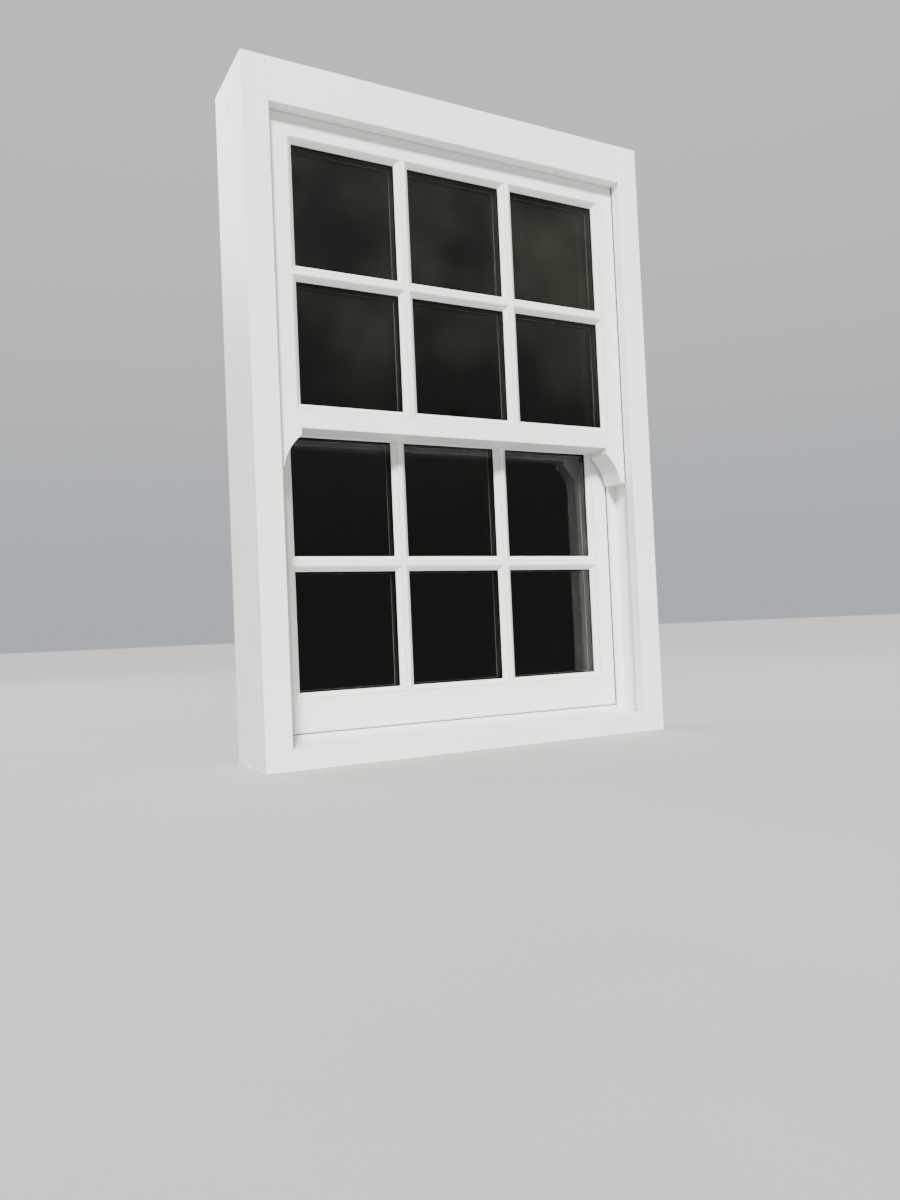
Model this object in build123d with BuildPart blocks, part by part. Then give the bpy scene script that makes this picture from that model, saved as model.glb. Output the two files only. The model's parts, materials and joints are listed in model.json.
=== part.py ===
from build123d import *
import os

# A vertical sliding sash window, six panes over six, with its frame.
# X runs along the wall, Y from the weather side to the room side and Z up.
# The origin is at the middle of the window, on the underside of its sill.

# Glass that shows, measured where each pane meets its beads
pane_width = 165.0
pane_height = 180.0
columns = 3
rows = 2

# Sash timbers, measured from the glass to the outer edge
stile_width = 51.0
top_rail_height = 51.0
meeting_rail_height = 36.0
bottom_rail_height = 60.0
bar_width = 23.0
sash_thickness = 44.0
bottom_chamfer = 3.0
tenon_length = 22.0
tenon_thickness = 12.0
tenon_shoulder = 10.0
tenon_play = 0.2

# The moulding on the room side of the timbers
ovolo_quirk = 1.0
ovolo_radius = 7.0

# Glazing: each unit lies against a lip and mitred beads hold it from outside
bead_width = 7.5
bead_set_back = 0.5
bead_flat = 0.9
bead_edge = 1.4
glass_set_back = 9.0
glass_thickness = 4.0
glass_cavity = 12.0
glass_edge_gap = 2.0
spacer_width = 6.5
spacer_inset = 1.0
mitre_gap = 0.1

# Horns below the upper sash's meeting rail
horn_length = 58.0
horn_step = 10.0
horn_step_in = 2.0
horn_middle_drop = 28.0
horn_middle_in = 18.5
horn_foot_in = 30.0

# Frame timbers
jamb_thickness = 26.5
head_thickness = 52.0
lining_thickness = 20.0
lining_lip = 13.0
lining_arris = 1.5
parting_bead_thickness = 6.0
parting_bead_reach = 16.0
parting_groove_depth = 7.0
parting_bead_arris = 1.0
staff_bead_thickness = 16.0
staff_bead_width = 14.0
staff_bead_round = 6.0

# Sill
sill_front_height = 30.0
sill_slope_rise = 6.4
sill_riser = 6.0
sill_nose_round = 2.0
drip_groove_width = 6.0
drip_groove_depth = 5.0
drip_groove_in = 9.0
water_bar_width = 6.0
water_bar_depth = 8.0
water_bar_in = 80.0

# Running clearances
side_play = 2.0
face_play = 1.5
bead_play = 1.0
seat_gap = 0.6
head_gap = 2.0
meeting_play = 1.0
meeting_end_gap = 2.0
groove_play = 0.3

# How far short of the meeting rails each sash's outer rail stops when it is opened
upper_stop_short = 33.0
lower_stop_short = 3.0

# Spiral balances: a tube on the jamb, a twisted rod on the sash
tube_radius = 7.5
tube_wall = 1.0
tube_plug = 12.0
tube_rim = 1.0
tube_rim_bore = 5.2
tube_flat = 1.0
tube_head_gap = 10.0
tube_foot_gap = 8.0
spring_radius = 5.5
spring_wall = 2.0
bush_height = 12.0
bush_play = 0.3
rod_width = 5.0
rod_thickness = 2.0
rod_pitch = 60.0
rod_play = 0.3
rod_spare = 16.0
rod_top_gap = 10.0
stile_groove_width = 17.0
stile_groove_depth = 17.0
stile_groove_foot = 10.0
foot_plate = 2.5
foot_leg = 22.0
foot_leg_thickness = 2.0
foot_width = 14.0
foot_wall_gap = 3.0
foot_floor_gap = 0.5

# Screws
screw_rim = 0.3
screw_play = 0.1
frame_screw_radius = 2.5
frame_screw_head_radius = 5.0
frame_screw_length = 70.0
frame_screw_inset = 30.0
head_screw_well = 12.0
sill_screw_well = 10.0
tube_screw_radius = 1.75
tube_screw_head_radius = 3.5
tube_screw_length = 32.0
small_screw_radius = 1.6
small_screw_head_radius = 3.2
small_screw_length = 12.0

# Hook lifts on the lower sash's bottom rail
lift_place = 160.0
lift_rise = 22.0
lift_plate_width = 54.0
lift_plate_height = 26.0
lift_plate_thickness = 2.5
lift_corner = 4.0
lift_hook_width = 28.0
lift_hook_thickness = 3.0
lift_hook_reach = 27.5
lift_hook_drop = 15.0
lift_hook_round = 7.0
lift_screw_spread = 41.0

# Fastener on the lower meeting rail and its keep on the upper one
fastener_inset = 21.5
fastener_base_length = 58.0
fastener_base_width = 22.0
fastener_base_thickness = 2.5
fastener_screw_spread = 44.0
post_radius = 8.0
post_height = 6.0
pivot_radius = 3.0
pivot_play = 0.1
rivet_radius = 4.5
rivet_height = 1.5
lever_thickness = 5.0
lever_end_play = 0.2
lever_hub_radius = 9.0
lever_root_radius = 6.0
lever_reach = 32.0
lever_nose_radius = 4.0
thumb_reach = 16.0
thumb_radius = 4.5
thumb_height = 8.0
keep_plate_length = 56.0
keep_bridge_length = 30.0
keep_depth = 13.5
keep_thickness = 2.0
keep_lever_gap = 1.0
keep_lip = 8.0
keep_screw_spread = 44.0
keep_edge_gap = 0.5

# Places across the window, from the middle
half_glass = (columns * pane_width + (columns - 1) * bar_width) / 2
half_sash = half_glass + stile_width
jamb_face = half_sash + side_play
half_frame = jamb_face + jamb_thickness
lining_edge = jamb_face - lining_lip
parting_edge = jamb_face - parting_bead_reach
staff_edge = jamb_face - staff_bead_width
tube_x = jamb_face - tube_radius

# Places through the wall, from outside to inside
sash_to_sash = 2 * bead_play + parting_bead_thickness
lower_back_depth = lining_thickness + face_play + 2 * sash_thickness + sash_to_sash
front_y = -(lower_back_depth + lift_hook_reach) / 2
lining_back = front_y + lining_thickness
upper_front = lining_back + face_play
upper_back = upper_front + sash_thickness
parting_front = upper_back + bead_play
parting_back = parting_front + parting_bead_thickness
lower_front = parting_back + bead_play
lower_back = lower_front + sash_thickness
staff_front = lower_back + face_play
frame_back = staff_front + staff_bead_thickness
meeting_bevel = sash_to_sash - meeting_play

# Heights
glass_height = rows * pane_height + (rows - 1) * bar_width
slope_top = sill_front_height + sill_slope_rise
land_z = slope_top + sill_riser
lower_bottom = land_z + seat_gap
lower_glass = lower_bottom + bottom_rail_height
meeting_bottom = lower_glass + glass_height
meeting_top = meeting_bottom + meeting_rail_height
upper_glass_top = meeting_top + glass_height
upper_top = upper_glass_top + top_rail_height
soffit = upper_top + head_gap
frame_top = soffit + head_thickness
lining_head_edge = soffit - lining_lip

# Depths inside a sash, from its outer face
unit_back = glass_set_back + 2 * glass_thickness + glass_cavity
ovolo_top = sash_thickness - ovolo_quirk
ovolo_low = ovolo_top - ovolo_radius
ovolo_reach = ovolo_quirk + ovolo_radius

# Travel of each sash from shut
upper_travel = glass_height - upper_stop_short
lower_travel = glass_height - lower_stop_short

# Balances: the rod stays in its bush at full travel and clears the plug when it is drawn in
rod_beyond_travel = tube_foot_gap + tube_rim + bush_height + rod_spare
tube_beyond_rod = rod_top_gap + tube_plug - tube_foot_gap
tube_bore = tube_radius - tube_wall
bush_low = tube_rim + bush_play
upper_tube_length = upper_travel + rod_beyond_travel + tube_beyond_rod
lower_tube_length = lower_travel + rod_beyond_travel + tube_beyond_rod
upper_tube_low = soffit - tube_head_gap - upper_tube_length
upper_foot_z = upper_tube_low - tube_foot_gap
lower_foot_z = lower_bottom + stile_groove_foot + foot_floor_gap + foot_leg
lower_tube_low = lower_foot_z + lower_travel + tube_foot_gap
groove_back = half_sash - stile_groove_depth

# Fastener
pivot_y = lower_back - fastener_inset
post_top = meeting_top + fastener_base_thickness + post_height
lever_low = post_top + lever_end_play
lever_top = lever_low + lever_thickness
keep_height = lever_top + keep_lever_gap + keep_thickness - meeting_top

os.makedirs("parts", exist_ok=True)


def save(part, name):
    part.label = name
    export_step(part, f"parts/{name}.step")


def mirrored(part):
    """The same piece for the left side of the window."""
    return mirror(part, about=Plane.YZ)


def front_plane(y):
    """Drawn as seen from the weather side; a negative amount extrudes towards the room."""
    return Plane((0, y, 0), x_dir=(1, 0, 0), z_dir=(0, -1, 0))


def timber(x_range, y_range, z_range):
    """A squared timber between three pairs of faces."""
    ranges = (x_range, y_range, z_range)
    with BuildPart() as piece:
        with Locations(tuple((low + high) / 2 for low, high in ranges)):
            Box(*(high - low for low, high in ranges))
    return piece.part


def screw_form(radius, head_radius, length, play=0.0, well=0.0):
    """A countersunk screw whose head is at the origin and points up, or the hole that takes it."""
    shank = radius + play
    head = head_radius + play
    neck = -screw_rim - (head - shank)
    with BuildPart() as form:
        with BuildSketch(Plane.XZ):
            with BuildLine():
                Polyline(
                    (0, well),
                    (head, well),
                    (head, -screw_rim),
                    (shank, neck),
                    (shank, 2 * shank - length - play),
                    (0, -length - play),
                    close=True,
                )
            make_face()
        revolve(axis=Axis.Z)
    return form.part


frame_screw_size = (frame_screw_radius, frame_screw_head_radius, frame_screw_length)
tube_screw_size = (tube_screw_radius, tube_screw_head_radius, tube_screw_length)
small_screw_size = (small_screw_radius, small_screw_head_radius, small_screw_length)


def screws(size, planes):
    """One screw on each plane, its head facing the way that the plane faces."""
    screw = screw_form(*size)
    with BuildPart() as group:
        with Locations(*planes):
            add(screw)
    return group.part


def drilled(part, size, planes, well=0.0):
    """The part with a hole for the screw on each plane."""
    hole = screw_form(*size, play=screw_play, well=well)
    with BuildPart() as piece:
        add(part)
        with Locations(*planes):
            add(hole, mode=Mode.SUBTRACT)
    return piece.part


def both_sides(planes):
    """The planes and their mirror images on the other side of the window."""
    return planes + [
        Plane(
            (-plane.origin.X, plane.origin.Y, plane.origin.Z),
            z_dir=(-plane.z_dir.X, plane.z_dir.Y, plane.z_dir.Z),
        )
        for plane in planes
    ]


def border(section, width, height, reach, gap=0.0):
    """Four mitred strips round an opening centred on the origin: bottom, left, top and right.

    The section's X points away from the opening and its Y towards the room.
    """
    strips = []
    for turn, along, across in (
        (0, width, height),
        (90, height, width),
        (180, width, height),
        (270, height, width),
    ):
        low = -across / 2
        with BuildPart() as strip:
            with BuildSketch(Plane((0, 0, low), x_dir=(0, 0, -1), z_dir=(1, 0, 0))):
                add(section)
            extrude(amount=along / 2 + reach, both=True)
            for end in (-1, 1):
                mitre = Plane((end * (along - gap) / 2, 0, low), x_dir=(0, 1, 0), z_dir=(end, 0, 1))
                split(bisect_by=mitre, keep=Keep.BOTTOM)
        strips.append(strip.part.rotate(Axis.Y, turn))
    return strips


def ovolo_cut():
    """What the moulding takes off a room-side corner: X from the sight edge, Y from the outer face."""
    with BuildSketch() as cut:
        with BuildLine():
            Polyline(
                (ovolo_reach, ovolo_top),
                (ovolo_reach, sash_thickness),
                (0, sash_thickness),
                (0, ovolo_low),
                (ovolo_quirk, ovolo_low),
            )
            CenterArc((ovolo_reach, ovolo_low), ovolo_radius, 90, 90)
        make_face()
    return cut.sketch


def stile(front, outline, z_low, z_top, glass_bottom, groove_low, moulding_low):
    """A right-hand stile and its blank, the shape that the rails are cut against.

    The rebate stops at the rails and the moulding runs on, so the rails are scribed over it.
    """
    rebate_height = glass_height + 2 * bead_width
    with BuildPart() as blank:
        with BuildSketch(front_plane(front)):
            add(outline)
        extrude(amount=-sash_thickness)
        with Locations((half_glass, front + unit_back / 2, glass_bottom + glass_height / 2)):
            Box(2 * bead_width, unit_back, rebate_height, mode=Mode.SUBTRACT)
        with BuildSketch(Plane((half_glass, front, moulding_low))):
            add(ovolo_cut())
        extrude(amount=z_top - moulding_low, mode=Mode.SUBTRACT)
    with BuildPart() as piece:
        add(blank.part)
        groove_height = z_top - groove_low
        with Locations((half_sash, front + sash_thickness / 2, groove_low + groove_height / 2)):
            Box(2 * stile_groove_depth, stile_groove_width, groove_height, mode=Mode.SUBTRACT)
        for low, high in ((z_low, glass_bottom), (glass_bottom + glass_height, z_top)):
            mortise = tenon_box(low, high, tenon_play)
            with Locations((half_glass, front + sash_thickness / 2, (low + high) / 2)):
                add(mortise, mode=Mode.SUBTRACT)
    return piece.part, blank.part


def tenon_box(low, high, play=0.0):
    """A rail's tenon, from the middle of the sight edge's plane, or the mortise that takes it."""
    with BuildPart() as tenon:
        Box(
            2 * (tenon_length + play),
            tenon_thickness + 2 * play,
            high - low - 2 * (tenon_shoulder - play),
        )
    return tenon.part


def rail(front, section_plane, section, low, high, stiles, lap=None):
    """A rail between the stiles: scribed over their moulding, with a tenon at each end."""
    middle = (low + high) / 2
    with BuildPart() as piece:
        with BuildSketch(section_plane):
            add(section)
        extrude(amount=half_glass + ovolo_reach, both=True)
        for other in stiles:
            add(other, mode=Mode.SUBTRACT)
        with Locations(*[(side * half_glass, front + sash_thickness / 2, middle) for side in (-1, 1)]):
            add(tenon_box(low, high))
        if lap:
            with BuildSketch(section_plane):
                add(lap)
            extrude(amount=parting_edge - meeting_end_gap, both=True)
    return piece.part


def rail_section(height, front_edge=0.0, front_far=0.0, back_far=sash_thickness, moulded=True):
    """A rail's section: X from the sight edge to the far edge, Y from the sash's outer face."""
    with BuildSketch() as section:
        with BuildLine():
            Polyline(
                (bead_width, front_edge + (front_far - front_edge) * bead_width / height),
                (height, front_far),
                (height, back_far),
                (0, sash_thickness),
                (0, unit_back),
                (bead_width, unit_back),
                close=True,
            )
        make_face()
        if moulded:
            add(ovolo_cut(), mode=Mode.SUBTRACT)
    return section.sketch


def bevel_lap(height, face, far):
    """The wedge by which a meeting rail passes over the face of the stiles."""
    with BuildSketch() as section:
        with BuildLine():
            Polyline((0, face), (height, face), (height, far), close=True)
        make_face()
    return section.sketch


def bar_section():
    """A glazing bar: a narrow nose outside and a moulded lip inside."""
    half_bar = bar_width / 2
    half_nose = half_bar - bead_width
    with BuildSketch() as section:
        with BuildLine():
            Polyline(
                (half_bar - ovolo_reach, ovolo_top),
                (half_bar - ovolo_reach, sash_thickness),
                (0, sash_thickness),
                (0, 0),
                (half_nose, 0),
                (half_nose, unit_back),
                (half_bar, unit_back),
                (half_bar, ovolo_low),
                (half_bar - ovolo_quirk, ovolo_low),
            )
            CenterArc((half_bar - ovolo_reach, ovolo_low), ovolo_radius, 0, 90)
        make_face()
        mirror(about=Plane.YZ)
    return section.sketch


def glazing_bars(front, glass_bottom, rails, stiles):
    """Upright bars from rail to rail, and cross bars scribed between the uprights and stiles."""
    glass_top = glass_bottom + glass_height
    column_pitch = pane_width + bar_width
    row_pitch = pane_height + bar_width
    bar_xs = [(index - (columns - 2) / 2) * column_pitch for index in range(columns - 1)]
    bar_zs = [glass_bottom - bar_width / 2 + (index + 1) * row_pitch for index in range(rows - 1)]
    with BuildPart() as uprights:
        with BuildSketch(*[Plane((x, front, glass_bottom - ovolo_reach)) for x in bar_xs]):
            add(bar_section())
        extrude(amount=glass_height + 2 * ovolo_reach)
        for other in rails:
            add(other, mode=Mode.SUBTRACT)
    with BuildPart() as crosses:
        with BuildSketch(*[Plane((0, front, z), x_dir=(0, 0, 1), z_dir=(-1, 0, 0)) for z in bar_zs]):
            add(bar_section())
        extrude(amount=half_glass + ovolo_reach, both=True)
        for other in (uprights.part, *stiles):
            add(other, mode=Mode.SUBTRACT)
    return uprights.part, crosses.part


def pane_centres(glass_bottom):
    """The middle of each pane, row by row from the top, left to right."""
    return [
        (
            (column - (columns - 1) / 2) * (pane_width + bar_width),
            glass_bottom + pane_height / 2 + (rows - 1 - row) * (pane_height + bar_width),
        )
        for row in range(rows)
        for column in range(columns)
    ]


def bead_section():
    """A glazing bead: upright at the glass, then bevelled up to the nose of the timber."""
    with BuildSketch() as section:
        with BuildLine():
            Polyline(
                (0, glass_set_back),
                (0, glass_set_back - bead_edge),
                (bead_width - bead_flat, bead_set_back),
                (bead_width, bead_set_back),
                (bead_width, glass_set_back),
                close=True,
            )
        make_face()
    return section.sketch


def glazing(front, glass_bottom, prefix):
    """The double glazed units of a sash, with their spacers and the beads that hold them."""
    unit_width = pane_width + 2 * (bead_width - glass_edge_gap)
    unit_height = pane_height + 2 * (bead_width - glass_edge_gap)
    centres = pane_centres(glass_bottom)
    for number, (x, z) in enumerate(centres, start=1):
        with BuildPart() as unit:
            for depth in (glass_set_back, unit_back - glass_thickness):
                with Locations((x, front + depth + glass_thickness / 2, z)):
                    Box(unit_width, glass_thickness, unit_height)
        save(unit.part, f"{prefix}_glass_{number}")
    ring_width = unit_width - 2 * spacer_inset
    ring_height = unit_height - 2 * spacer_inset
    with BuildPart() as spacers:
        with BuildSketch(front_plane(front + glass_set_back + glass_thickness)):
            with Locations(*centres):
                Rectangle(ring_width, ring_height)
                Rectangle(ring_width - 2 * spacer_width, ring_height - 2 * spacer_width, mode=Mode.SUBTRACT)
        extrude(amount=-glass_cavity)
    save(spacers.part, f"{prefix}_spacers")
    with BuildPart() as beads:
        with Locations(*[(x, front, z) for x, z in centres]):
            add(border(bead_section(), pane_width, pane_height, bead_width, mitre_gap))
    save(beads.part, f"{prefix}_glazing_beads")


def twisted_strip(width, thickness, height, start_turn=0.0):
    """A flat strip twisted about Z, one turn in each pitch."""
    with BuildSketch() as section:
        Rectangle(width, thickness, rotation=start_turn)
    return Solid.extrude_linear_with_rotation(
        section.sketch.face(), (0, 0, 0), (0, 0, height), 360 * height / rod_pitch
    )


def spiral_rod(front, foot_z, travel, side):
    """A twisted rod on its foot: a plate under the rod and a leg screwed into the stile's groove."""
    y = front + sash_thickness / 2
    plate_end = jamb_face - foot_wall_gap
    plate = timber(
        (groove_back, plate_end),
        (y - foot_width / 2, y + foot_width / 2),
        (foot_z - foot_plate, foot_z),
    )
    leg = timber(
        (groove_back, groove_back + foot_leg_thickness),
        (y - foot_width / 2, y + foot_width / 2),
        (foot_z - foot_leg, foot_z),
    )
    with BuildPart() as foot:
        add([plate, leg])
        add(screw_form(*small_screw_size, play=screw_play).moved(foot_screw_plane(front, foot_z).location),
            mode=Mode.SUBTRACT)
    with BuildPart() as rod:
        add(foot.part if side > 0 else mirrored(foot.part))
        with Locations((side * tube_x, y, foot_z)):
            add(twisted_strip(rod_width, rod_thickness, travel + rod_beyond_travel))
    return rod.part


def foot_screw_plane(front, foot_z):
    """Where the screw's head lies in the leg of a right-hand rod's foot."""
    return Plane(
        (groove_back + foot_leg_thickness, front + sash_thickness / 2, foot_z - foot_leg / 2),
        z_dir=(1, 0, 0),
    )


def balance_bush(engaged):
    """The bush that the rod turns; its slot is in phase with the rod where it is engaged."""
    slot_margin = 1.0
    phase = 360 * (engaged - slot_margin) / rod_pitch
    slot = twisted_strip(
        rod_width + 2 * rod_play, rod_thickness + 2 * rod_play, bush_height + 2 * slot_margin, phase
    )
    with BuildPart() as bush:
        Cylinder(tube_bore - bush_play, bush_height, align=(Align.CENTER, Align.CENTER, Align.MIN))
        with Locations((0, 0, -slot_margin)):
            add(slot, mode=Mode.SUBTRACT)
    return bush.part


def balance_tube(length):
    """A tube that hangs by its plugged top, with a rim at its foot that carries the bush."""
    plug_low = length - tube_plug
    with BuildPart() as tube:
        with BuildSketch(Plane.XZ):
            with BuildLine():
                Polyline(
                    (tube_rim_bore, 0),
                    (tube_radius, 0),
                    (tube_radius, length),
                    (0, length),
                    (0, plug_low),
                    (tube_bore, plug_low),
                    (tube_bore, tube_rim),
                    (tube_rim_bore, tube_rim),
                    close=True,
                )
            make_face()
        revolve(axis=Axis.Z)
        with Locations((-tube_radius, 0, plug_low + tube_plug / 2)):
            Box(2 * tube_flat, 2 * tube_radius, tube_plug, mode=Mode.SUBTRACT)
        with Locations(Plane((tube_flat - tube_radius, 0, plug_low + tube_plug / 2), z_dir=(-1, 0, 0))):
            add(screw_form(*tube_screw_size, play=screw_play), mode=Mode.SUBTRACT)
    return tube.part


def balance_spring(length):
    """The torsion spring's coils as one sleeve, between the bush and the plug."""
    spring_low = bush_low + bush_height + bush_play
    with BuildPart() as spring:
        with BuildSketch(Plane.XY.offset(spring_low)):
            Circle(spring_radius)
            Circle(spring_radius - spring_wall, mode=Mode.SUBTRACT)
        extrude(amount=length - tube_plug - spring_low)
    return spring.part


# Sill: weathered in front of the lower sash, level behind the riser
with BuildPart() as sill:
    with BuildSketch(Plane.YZ):
        with BuildLine():
            Polyline(
                (front_y, 0),
                (frame_back, 0),
                (frame_back, land_z),
                (lower_front, land_z),
                (lower_front, slope_top),
                (front_y, sill_front_height),
                close=True,
            )
        make_face()
        with Locations((front_y + drip_groove_in, 0)):
            Rectangle(drip_groove_width, 2 * drip_groove_depth, mode=Mode.SUBTRACT)
        with Locations((front_y + water_bar_in, 0)):
            Rectangle(water_bar_width, 2 * water_bar_depth, mode=Mode.SUBTRACT)
    extrude(amount=half_frame, both=True)
    fillet(sill.edges().filter_by(Axis.X).group_by(Axis.Y)[0], radius=sill_nose_round)

# Jambs stand on the sill, the head lies on the jambs
right_jamb_x = (jamb_face, half_frame)
on_sill = (sill_front_height, soffit)
parting_groove_y = (parting_front, parting_back)
with BuildPart() as jamb:
    add(timber(right_jamb_x, (lining_back, frame_back), on_sill))
    add(
        timber((jamb_face, jamb_face + parting_groove_depth), parting_groove_y, on_sill),
        mode=Mode.SUBTRACT,
    )
    add(sill.part, mode=Mode.SUBTRACT)

with BuildPart() as head:
    add(timber((-half_frame, half_frame), (lining_back, frame_back), (soffit, frame_top)))
    add(
        timber((-half_frame, half_frame), parting_groove_y, (soffit, soffit + parting_groove_depth)),
        mode=Mode.SUBTRACT,
    )

jamb_middle = (jamb_face + half_frame) / 2
frame_screw_ys = (lining_back + frame_screw_inset, frame_back - frame_screw_inset)
head_screw_planes = [
    Plane((side * jamb_middle, y, frame_top - head_screw_well))
    for side in (-1, 1)
    for y in frame_screw_ys
]
sill_screw_planes = [
    Plane((side * jamb_middle, y, sill_screw_well), z_dir=(0, 0, -1))
    for side in (-1, 1)
    for y in frame_screw_ys
]
tube_screw_planes = [
    Plane((side * (tube_x - tube_radius + tube_flat), front + sash_thickness / 2, z), z_dir=(-side, 0, 0))
    for side in (-1, 1)
    for front, z in (
        (upper_front, upper_tube_low + upper_tube_length - tube_plug / 2),
        (lower_front, lower_tube_low + lower_tube_length - tube_plug / 2),
    )
]
frame_screw_planes = head_screw_planes + sill_screw_planes
with BuildPart() as frame_screws:
    add(screws(frame_screw_size, frame_screw_planes))
    add(screws(tube_screw_size, tube_screw_planes))
save(frame_screws.part, "frame_screws")
save(drilled(sill.part, frame_screw_size, sill_screw_planes, sill_screw_well), "sill")
save(drilled(head.part, frame_screw_size, head_screw_planes, head_screw_well), "head")
right_jamb = drilled(jamb.part, frame_screw_size, frame_screw_planes)
right_jamb = drilled(right_jamb, tube_screw_size, tube_screw_planes)
save(right_jamb, "jamb_right")
save(mirrored(right_jamb), "jamb_left")

# Outer lining: the sides run to the top and the head lies between them
with BuildPart() as side_lining:
    add(timber((lining_edge, half_frame), (front_y, lining_back), (sill_front_height, frame_top)))
    lip_corner = side_lining.edges().filter_by(Axis.Z).group_by(Axis.X)[0].sort_by(Axis.Y)[0]
    fillet(lip_corner, radius=lining_arris)
    add(sill.part, mode=Mode.SUBTRACT)
save(side_lining.part, "outer_lining_right")
save(mirrored(side_lining.part), "outer_lining_left")

with BuildPart() as head_lining:
    add(timber((-lining_edge, lining_edge), (front_y, lining_back), (lining_head_edge, frame_top)))
    lip_corner = head_lining.edges().filter_by(Axis.X).group_by(Axis.Z)[0].sort_by(Axis.Y)[0]
    fillet(lip_corner, radius=lining_arris)
save(head_lining.part, "outer_lining_head")

# Parting beads keep the two tracks apart; they stand in grooves in the jambs and the head
bead_root = jamb_face + parting_groove_depth - groove_play
with BuildPart() as side_parting:
    add(timber((parting_edge, bead_root), parting_groove_y, on_sill))
    fillet(side_parting.edges().filter_by(Axis.Z).group_by(Axis.X)[0], radius=parting_bead_arris)
    add(sill.part, mode=Mode.SUBTRACT)
save(side_parting.part, "parting_bead_right")
save(mirrored(side_parting.part), "parting_bead_left")

with BuildPart() as head_parting:
    add(
        timber(
            (-parting_edge, parting_edge),
            parting_groove_y,
            (soffit - parting_bead_reach, soffit + parting_groove_depth - groove_play),
        )
    )
    fillet(head_parting.edges().filter_by(Axis.X).group_by(Axis.Z)[0], radius=parting_bead_arris)
save(head_parting.part, "parting_bead_head")

# Staff beads hold the lower sash in its track from the room side
with BuildSketch() as staff_section:
    Rectangle(staff_bead_width, staff_bead_thickness, align=Align.MIN)
    fillet(staff_section.vertices().group_by(Axis.X)[0].sort_by(Axis.Y)[-1], radius=staff_bead_round)
staff_opening_height = soffit - land_z - 2 * staff_bead_width
staff_strips = border(staff_section.sketch, 2 * staff_edge, staff_opening_height, staff_bead_width)
for strip, place in zip(staff_strips, ("sill", "left", "head", "right")):
    with BuildPart() as staff_bead:
        with Locations((0, staff_front, (soffit + land_z) / 2)):
            add(strip)
    save(staff_bead.part, f"staff_bead_{place}")

# Upper sash, in the outer track, with horns below its meeting rail
with BuildSketch() as upper_outline:
    with BuildLine():
        horn_bottom = meeting_bottom - horn_length
        ThreePointArc(
            (half_glass + horn_step_in, meeting_bottom - horn_step),
            (half_glass + horn_middle_in, meeting_bottom - horn_middle_drop),
            (half_glass + horn_foot_in, horn_bottom),
        )
        Polyline(
            (half_glass + horn_foot_in, horn_bottom),
            (half_sash, horn_bottom),
            (half_sash, upper_top),
            (half_glass, upper_top),
            (half_glass, meeting_bottom),
            (half_glass + horn_step_in, meeting_bottom),
            (half_glass + horn_step_in, meeting_bottom - horn_step),
        )
    make_face()

upper_groove_low = upper_foot_z - foot_leg - foot_floor_gap
upper_stile, upper_blank = stile(
    upper_front, upper_outline.sketch, meeting_bottom, upper_top, meeting_top, upper_groove_low, meeting_top
)
upper_foot_screws = both_sides([foot_screw_plane(upper_front, upper_foot_z)])
upper_stile = drilled(upper_stile, small_screw_size, upper_foot_screws)
upper_blanks = (upper_blank, mirrored(upper_blank))
save(upper_stile, "upper_stile_right")
save(mirrored(upper_stile), "upper_stile_left")

upper_top_rail = rail(
    upper_front,
    Plane((0, upper_front, upper_glass_top), x_dir=(0, 0, 1), z_dir=(-1, 0, 0)),
    rail_section(top_rail_height),
    upper_glass_top,
    upper_top,
    upper_blanks,
)
save(upper_top_rail, "upper_top_rail")

upper_meeting_rail = rail(
    upper_front,
    Plane((0, upper_front, meeting_top), x_dir=(0, 0, -1), z_dir=(1, 0, 0)),
    rail_section(meeting_rail_height, back_far=sash_thickness + meeting_bevel, moulded=False),
    meeting_bottom,
    meeting_top,
    upper_blanks,
    bevel_lap(meeting_rail_height, sash_thickness, sash_thickness + meeting_bevel),
)

upper_bars, upper_crosses = glazing_bars(
    upper_front, meeting_top, (upper_top_rail, upper_meeting_rail), upper_blanks
)
save(upper_bars, "upper_bars")
save(upper_crosses, "upper_cross_bars")
glazing(upper_front, meeting_top, "upper")

# Lower sash, in the inner track
with BuildSketch() as lower_outline:
    with BuildLine():
        Polyline(
            (half_glass, lower_bottom),
            (half_sash, lower_bottom),
            (half_sash, meeting_top),
            (half_glass, meeting_top),
            close=True,
        )
    make_face()

lower_stile, lower_blank = stile(
    lower_front,
    lower_outline.sketch,
    lower_bottom,
    meeting_top,
    lower_glass,
    lower_bottom + stile_groove_foot,
    lower_bottom,
)
lower_foot_screws = both_sides([foot_screw_plane(lower_front, lower_foot_z)])
lower_stile = drilled(lower_stile, small_screw_size, lower_foot_screws)
lower_blanks = (lower_blank, mirrored(lower_blank))
save(lower_stile, "lower_stile_right")
save(mirrored(lower_stile), "lower_stile_left")

lower_meeting_rail = rail(
    lower_front,
    Plane((0, lower_front, meeting_bottom), x_dir=(0, 0, 1), z_dir=(-1, 0, 0)),
    rail_section(meeting_rail_height, front_far=-meeting_bevel),
    meeting_bottom,
    meeting_top,
    lower_blanks,
    bevel_lap(meeting_rail_height, 0, -meeting_bevel),
)

with BuildPart() as lower_bottom_rail:
    add(
        rail(
            lower_front,
            Plane((0, lower_front, lower_glass), x_dir=(0, 0, -1), z_dir=(1, 0, 0)),
            rail_section(bottom_rail_height),
            lower_bottom,
            lower_glass,
            lower_blanks,
        )
    )
    front_edges = lower_bottom_rail.edges().filter_by(Axis.X).group_by(Axis.Y)[0]
    chamfer(front_edges.sort_by(Axis.Z)[0], length=bottom_chamfer)

lower_bars, lower_crosses = glazing_bars(
    lower_front, lower_glass, (lower_meeting_rail, lower_bottom_rail.part), lower_blanks
)
save(lower_bars, "lower_bars")
save(lower_crosses, "lower_cross_bars")
glazing(lower_front, lower_glass, "lower")

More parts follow.
